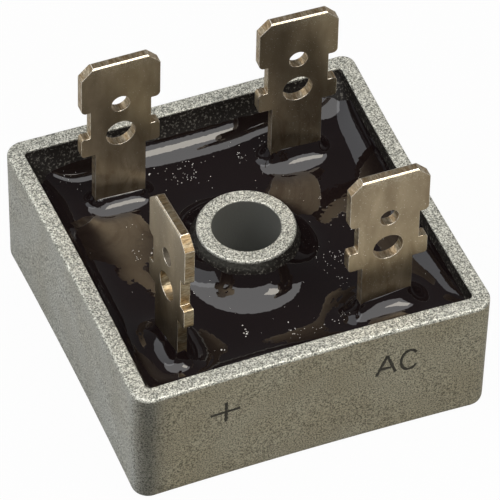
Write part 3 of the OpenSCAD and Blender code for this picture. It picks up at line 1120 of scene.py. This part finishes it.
# Painted shade: each blade's plating darkened by its own share, on some more towards the resin.
plating = plate.mix(plate.attribute("blade_shade"), plating, plate.tint(plating, (0.5, 0.5, 0.5)))
pinpoint = plate.remap(plate.noise(0.1, 1, 0.5), 0.7, 0.76)
plating = plate.mix(pinpoint, plating, (0.9, 0.85, 0.72))

plate.set(Base_Color=plating, Metallic=0.93, Roughness=plate.remap(haze, 0.3, 0.7, 0.3, 0.38))
plate.set(Normal=plate.bump(fine, 0.012, 0.5, plate.bump(haze, 0.05, 0.25)))
print(plate.material.name, len(plate.tree.nodes), "nodes")

# %% [markdown]
# The edges were sheared after plating, so they show bright metal with fine ridges from face to
# face. The ridges are a noise squeezed along the cut. One blade is turned a quarter, so there are
# two such finishes, one for each direction; that blade's edges face the front and are darkened by
# painted shade. The wall of the dark hole is painted dark and dull, as shade inside it.

# %% Sheared and burnished edges
def cut_finish(name, stretch, shade):
    """Sheared edge: ridges that run across the sheet, which lies square to X or to Y."""
    f = Finish(name)
    squeeze = f.node("ShaderNodeMapping")
    squeeze.inputs["Scale"].default_value = stretch
    f.link(f.place, squeeze.inputs["Vector"])
    f.place = squeeze.outputs["Vector"]
    ridges = f.noise(0.12, 2, 0.6)
    patches = f.noise(0.5, 2, 0.5)
    tone = f.ramp(ridges, (0.3, (0.3, 0.24, 0.16)), (0.5, (0.5, 0.42, 0.3)),
                  (0.7, (0.74, 0.65, 0.5)))
    tone = f.mix(f.remap(patches, 0.4, 0.6), tone, f.tint(tone, (0.8, 0.7, 0.58)))
    # Painted shade: the edges' tone multiplied by the given colour.
    tone = f.tint(tone, shade)
    # Painted shade in the dark hole: its wall dark, matte and not metal.
    in_hole = f.attribute("shaded_hole")
    f.set(Base_Color=f.mix(in_hole, tone, (0.15, 0.125, 0.09)))
    f.set(Metallic=f.remap(in_hole, 0, 1, 0.9, 0.0), Roughness=f.remap(in_hole, 0, 1, 0.36, 0.7))
    f.set(Normal=f.bump(ridges, 0.04, 0.5))
    return f.material


# The positive blade's edges face the front and are darkened by painted shade; the others keep
# nearly their own tone.
cut_x = cut_finish("cut_edge_x", (0.3, 1, 1), (0.68, 0.66, 0.6))
cut_y = cut_finish("cut_edge_y", (1, 0.3, 1), (1, 0.98, 0.95))
burnished = Finish("burnished_edge")
rub = burnished.noise(0.35, 2, 0.6)
rubbed = burnished.ramp(rub, (0.33, (0.7, 0.6, 0.45)), (0.55, (1.0, 0.94, 0.82)))
burnished.set(Base_Color=rubbed, Metallic=0.95, Roughness=0.17)
for blade in blades:
    paint(blade, plate.material)
    blade.data.materials.append(cut_x if "positive" in blade.name else cut_y)
    blade.data.materials.append(burnished.material)
    print(blade.name, [material.name for material in blade.data.materials])

# %% [markdown]
# The epoxy is a warm black and mirror-smooth where it pooled. Up on the walls it is only a thin
# film over the cast metal, so it is dull, rough and dusty there, and the border between the two
# wanders. Where the film is worn off the boss, the metal's grain shows, painted dark as shade.

# %% Black epoxy
epoxy = Finish("black_epoxy")
grit = epoxy.noise(0.2, 2, 0.6)
wander = epoxy.noise(0.9, 3, 0.65)
wandering = epoxy.math("ADD", epoxy.attribute("film"), epoxy.remap(wander, 0.3, 0.7, -0.35, 0.35))
film = epoxy.remap(wandering, 0.4, 0.6)
film_tone = epoxy.mix(epoxy.remap(grit, 0.55, 0.72), (0.012, 0.01, 0.0085), (0.15, 0.14, 0.12))
# Painted shade: the bare metal on the boss in a dark tone.
shaded_bare_tone = epoxy.mix(grit, (0.004, 0.004, 0.003), (0.08, 0.077, 0.067))
film_tone = epoxy.mix(epoxy.attribute("bare"), film_tone, shaded_bare_tone)
epoxy.set(Base_Color=epoxy.mix(film, (0.0075, 0.0045, 0.0045), film_tone), IOR=1.52)
epoxy.set(Roughness=epoxy.remap(film, 0, 1, 0.03, 0.5))
epoxy.set(Specular_IOR_Level=epoxy.remap(film, 0, 1, 0.5, 0.12))
rough_film = epoxy.node("ShaderNodeBump")
rough_film.inputs["Distance"].default_value = 0.06 * MM
epoxy.link(film, rough_film.inputs["Strength"])
epoxy.link(grit, rough_film.inputs["Height"])
ripple = epoxy.noise(0.55, 1, 0.5)
epoxy.set(Normal=epoxy.bump(ripple, 0.012, 0.5, rough_film.outputs["Normal"]))
paint(resin, epoxy.material)
print(epoxy.material.name, len(epoxy.tree.nodes), "nodes")

# %% [markdown]
# Dust is pale and dull, and the printing ink a dull brownish black that took unevenly. Both are
# small enough for one noise and one ramp.

# %% Dust and ink
pale_dust = Finish("pale_dust")
chalky = pale_dust.ramp(pale_dust.noise(0.9, 1, 0.5), (0.35, (0.45, 0.42, 0.38)),
                        (0.6, (0.9, 0.88, 0.84)))
pale_dust.set(Base_Color=chalky, Roughness=0.6)
paint(specks, pale_dust.material)

dark_ink = Finish("dark_ink")
patchy = dark_ink.ramp(dark_ink.noise(0.2, 2, 0.6), (0.35, (0.022, 0.02, 0.014)),
                       (0.7, (0.055, 0.05, 0.037)))
dark_ink.set(Base_Color=patchy, Roughness=0.7, Specular_IOR_Level=0.3)
paint(ink, dark_ink.material)
print("dust:", specks.data.materials[0].name, "ink:", ink.data.materials[0].name)

# %% [markdown]
# The pieces inside the resin are never seen, but they keep honest finishes for anyone who cuts
# the model open: copper for the lead frame, white ceramic, dark silicon and dull solder. The CAD
# pieces under the new ones get the finishes of those that stand in for them.

# %% Hidden pieces
def plain_finish(name, low, high, size_mm, metallic, rough):
    """Two tones of one colour in blobs of that size, with a slight relief."""
    f = Finish(name)
    blobs = f.noise(size_mm, 3, 0.6)
    f.set(Base_Color=f.ramp(blobs, (0.3, low), (0.7, high)), Metallic=metallic, Roughness=rough)
    f.set(Normal=f.bump(blobs, 0.02, 0.3))
    return f.material


copper = plain_finish("rolled_copper", (0.55, 0.25, 0.12), (0.78, 0.42, 0.25), 0.8, 1.0, 0.35)
solder = plain_finish("dull_solder", (0.42, 0.42, 0.44), (0.6, 0.6, 0.62), 0.4, 1.0, 0.45)
ceramic = plain_finish("white_ceramic", (0.78, 0.77, 0.72), (0.86, 0.85, 0.81), 0.3, 0.0, 0.5)
silicon = plain_finish("cut_silicon", (0.1, 0.11, 0.14), (0.16, 0.17, 0.2), 1.5, 0.4, 0.15)
INSIDE = {  # words in the nodes' names, in the order in which they are looked for
    "solder": solder, "insulator": ceramic, "plate": copper, "strap": copper, "chip": silicon,
}
for name, node in frame["nodes"].items():
    word = next((word for word in INSIDE if word in name), None)
    if word:
        paint(node, INSIDE[word])
paint(frame["nodes"]["case"], alu.material)
paint(frame["nodes"]["potting"], epoxy.material)
for name in PLACES:
    paint(frame["nodes"]["terminal_" + name], plate.material)
print("finishes:", len(bpy.data.materials))

# %% [markdown]
# ## Studio
# The part stands on a pale floor in plain soft light. The floor has a middling tone for the light
# that it throws back at the part, and looks white to the camera, through the light path's camera
# ray. It keeps a hint of its own shading, so that the part doesn't float.

# %% Floor
FLOOR_HALF = 1500.0
FLOOR_DROP = 0.02  # in millimetres, so that the underside and the floor don't share a plane
WHITE_SHARE = 0.97


def make_floor():
    """A large flat square under the part."""
    side = FLOOR_HALF
    points = [(-side, -side, 0), (side, -side, 0), (side, side, 0), (-side, side, 0)]
    return make_mesh("studio_floor", points, [(0, 1, 2, 3)])


floor = make_floor()
floor.location.z = -FLOOR_DROP * MM
pale = Finish("pale_floor")
tone = pale.ramp(pale.noise(40), (0.3, (0.38, 0.38, 0.37)), (0.7, (0.4, 0.4, 0.39)))
pale.set(Base_Color=tone, Roughness=0.9, Specular_IOR_Level=0.2)
seen = pale.node("ShaderNodeLightPath")
white = pale.node("ShaderNodeEmission", Strength=1.0)
white.inputs["Color"].default_value = (1, 1, 1, 1)
blend = pale.node("ShaderNodeMixShader")
white_to_camera = pale.math("MULTIPLY", seen.outputs["Is Camera Ray"], WHITE_SHARE)
pale.link(white_to_camera, blend.inputs[0])
pale.link(pale.shader.outputs[0], blend.inputs[1])
pale.link(white.outputs[0], blend.inputs[2])
pale.link(blend.outputs[0], pale.tree.nodes["Material Output"].inputs["Surface"])
paint(floor, pale.material)
print("floor:", 2 * FLOOR_HALF * MM, "m square")

# %% [markdown]
# A black mirror shows the lamps more than its own colour, so the lamps are placed for their
# reflections. The wide one overhead, a little towards the camera, draws the long pale bands on
# the resin and brightens the rim. A cool panel on the left, a little to the rear, lights that
# side of the case. A small warm strip on the front right makes glints on slopes and edges.

# %% Lamps
AIM = (0, 0, 0.008)  # in metres, like all the lamps' sizes
VIEW_ANGLE = np.radians(-22.8)
OVERHEAD = 0.6
OVERHEAD_SHIFT = 0.43  # how far the overhead lamp moves towards the camera, per unit of height


def softbox(name, target, azimuth, elevation, distance, size, radiance, colour):
    """A rectangular lamp that looks at the target, with its power worked out from its glow."""
    a, e = np.radians(azimuth), np.radians(elevation)
    toward = Vector((np.sin(a) * np.cos(e), -np.cos(a) * np.cos(e), np.sin(e)))
    lamp = bpy.data.lights.new(name, "AREA")
    lamp.shape = "RECTANGLE"
    lamp.size, lamp.size_y = size
    lamp.energy = radiance * np.pi * size[0] * size[1]
    lamp.color = colour
    box = bpy.data.objects.new(name, lamp)
    bpy.context.scene.collection.objects.link(box)
    look = toward.to_track_quat("Z", "Y").to_matrix().to_4x4()
    box.matrix_world = Matrix.Translation(Vector(target) + toward * distance) @ look
    print(name, "at", [round(v, 2) for v in box.location], "gives", round(lamp.energy, 2), "W")
    return box


softbox("left_panel", AIM, -110, 37, 0.7, (0.95, 0.42), 1.3, (0.93, 0.96, 1.0))
softbox("bright_strip", AIM, 40, 54, 0.6, (0.28, 0.14), 6.2, (1.0, 0.93, 0.8))
shift = np.array([np.sin(VIEW_ANGLE), -np.cos(VIEW_ANGLE)]) * OVERHEAD_SHIFT * OVERHEAD
over = (shift[0], shift[1], AIM[2])
ceiling = softbox("overhead", over, 0, 90, OVERHEAD, (1.15, 0.8), 2.4, (1.0, 1.0, 1.0))
ceiling.rotation_euler = (0, 0, VIEW_ANGLE)

# %% [markdown]
# The air round the part is a dim grey, a little darker overhead, which fills the shadows. It is
# a ramp over the height of each direction.

# %% World
world = bpy.data.worlds.new("studio_air")
bpy.context.scene.world = world
world.use_nodes = True
sky = world.node_tree
sky.nodes["Background"].inputs["Strength"].default_value = 1.0
where = sky.nodes.new("ShaderNodeTexCoord")
split = sky.nodes.new("ShaderNodeSeparateXYZ")
fade = sky.nodes.new("ShaderNodeValToRGB")
sky.links.new(where.outputs["Object"], split.inputs[0])
sky.links.new(split.outputs["Z"], fade.inputs["Fac"])
sky.links.new(fade.outputs["Color"], sky.nodes["Background"].inputs["Color"])
stops = fade.color_ramp.elements
stops[0].position, stops[0].color = 0.0, (0.13, 0.13, 0.13, 1)
stops[1].position, stops[1].color = 0.6, (0.11, 0.11, 0.115, 1)
print("air:", [tuple(round(c, 3) for c in stop.color[:3]) for stop in stops])

# %% [markdown]
# A very long lens, half a metre away, keeps the case's edges nearly parallel. The camera looks
# down at the case from the front left, and is rolled a little.

# %% Camera
SENSOR = 36
FOCAL_LENGTH = 461.95
SHIFT = (0.00988, 0.04876)
AZIMUTH, ELEVATION, ROLL = np.radians([-22.8135, 46.3405, 1.4507])
DISTANCE = 0.48883
AIM_HEIGHT = 0.0055

lens = bpy.data.cameras.new("camera")
lens.sensor_width = SENSOR
lens.lens = FOCAL_LENGTH
lens.shift_x, lens.shift_y = SHIFT
camera = bpy.data.objects.new("camera", lens)
bpy.context.scene.collection.objects.link(camera)
flat_part = np.cos(ELEVATION)
back = np.array([np.sin(AZIMUTH) * flat_part, -np.cos(AZIMUTH) * flat_part, np.sin(ELEVATION)])
right = np.array([np.cos(AZIMUTH), np.sin(AZIMUTH), 0])
up = np.cross(back, right)
rolled_right = np.cos(ROLL) * right + np.sin(ROLL) * up
rolled_up = -np.sin(ROLL) * right + np.cos(ROLL) * up
facing = Matrix(np.column_stack([rolled_right, rolled_up, back]).tolist()).to_4x4()
stand = Vector(back * DISTANCE) + Vector((0, 0, AIM_HEIGHT))
camera.matrix_world = Matrix.Translation(stand) @ facing
bpy.context.scene.camera = camera
bpy.context.scene.view_settings.view_transform = "Standard"
print("camera at", [round(v, 3) for v in stand])
